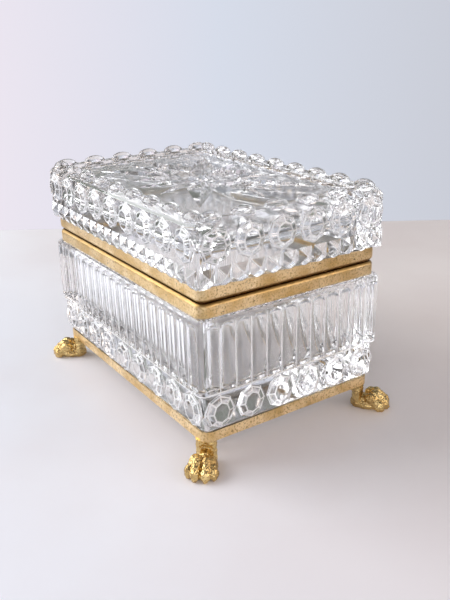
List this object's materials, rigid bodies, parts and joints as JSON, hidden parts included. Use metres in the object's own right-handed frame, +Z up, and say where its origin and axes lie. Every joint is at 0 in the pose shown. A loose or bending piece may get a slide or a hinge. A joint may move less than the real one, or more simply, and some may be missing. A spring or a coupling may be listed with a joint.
{
  "type": "jewelry box",
  "caption": "Hinged cut-crystal casket with gilt-brass collars, a brass base rail and cast paw feet; the heavy crystal lid swings up about hinges along the back.",
  "frame": {"origin": "on the table under the middle of the box", "axes": "+X along the long sides towards the right-hand end, -Y towards the front, +Y towards the hinged back, +Z up"},
  "size_m": [0.169, 0.118, 0.115],
  "materials": {
    "crystal": "clear polished cut lead crystal",
    "gilt_brass": "satin worn gilding with fine pits",
    "cast_gilt": "gilt sand casting, stippled and chased",
    "plain_brass": "turned plain brass",
    "cement": "dry white plaster cement"
  },
  "bodies": {
    "casket": {"crystal_body": "crystal", "body_collar": "gilt_brass", "base_rail": "gilt_brass", "body_cement": "cement", "base_cement": "cement", "hinge_left_body_knuckles": "gilt_brass", "hinge_left_pin": "plain_brass", "hinge_right_body_knuckles": "gilt_brass", "hinge_right_pin": "plain_brass", "foot_front_left": "cast_gilt", "foot_front_right": "cast_gilt", "foot_back_left": "cast_gilt", "foot_back_right": "cast_gilt", "foot_screws": "plain_brass"},
    "lid": {"crystal_lid": "crystal", "lid_collar": "gilt_brass", "lid_cement": "cement", "hinge_left_lid_knuckle": "gilt_brass", "hinge_right_lid_knuckle": "gilt_brass"}
  },
  "joints": [
    {"name": "lid_hinge", "type": "hinge", "parent": "casket", "child": "lid", "pos_m": [0, 0.04805, 0.0783], "axis": [-1, 0, 0], "range_deg": [0, 100]}
  ]
}
